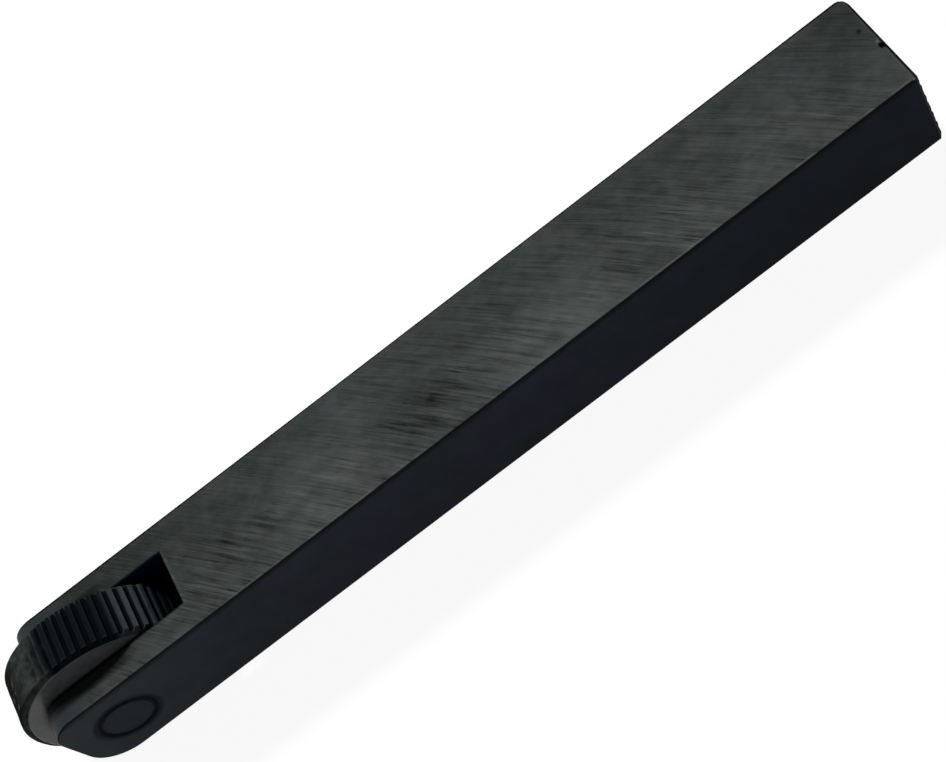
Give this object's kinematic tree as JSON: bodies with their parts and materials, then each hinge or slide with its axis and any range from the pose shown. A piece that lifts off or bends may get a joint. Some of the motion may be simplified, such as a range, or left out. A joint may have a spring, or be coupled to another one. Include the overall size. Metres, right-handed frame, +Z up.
{
  "type": "knurling tool",
  "caption": "Lathe knurling tool: a slim rectangular steel shank with a rounded forked nose that carries a straight-toothed knurl wheel on a plain cross pin.",
  "frame": {"origin": "centre of the shank's underside, on the tool's middle plane, halfway along the plain shank between the slot's back wall and the back end", "axes": "+X from the wheel towards the back end, along the shank; Y across the tool, along the wheel's pin; +Z up, out of the shank's top face"},
  "size_m": [0.1116, 0.013, 0.02],
  "materials": {
    "blackened_shank_steel": "ground, then chemically blackened and oiled",
    "hardened_knurl_steel": "hardened and dark, rubbed brighter on the tooth crests",
    "blackened_pin_steel": "ground, then chemically blackened"
  },
  "bodies": {
    "holder": {"holder": "blackened_shank_steel", "wheel_pin": "blackened_pin_steel"},
    "knurl_wheel": {"knurl_wheel": "hardened_knurl_steel"}
  },
  "joints": [
    {"name": "wheel_spin", "type": "hinge", "parent": "holder", "child": "knurl_wheel", "pos_m": [-0.05715, 0, 0.006], "axis": [0, 1, 0], "continuous": true}
  ]
}
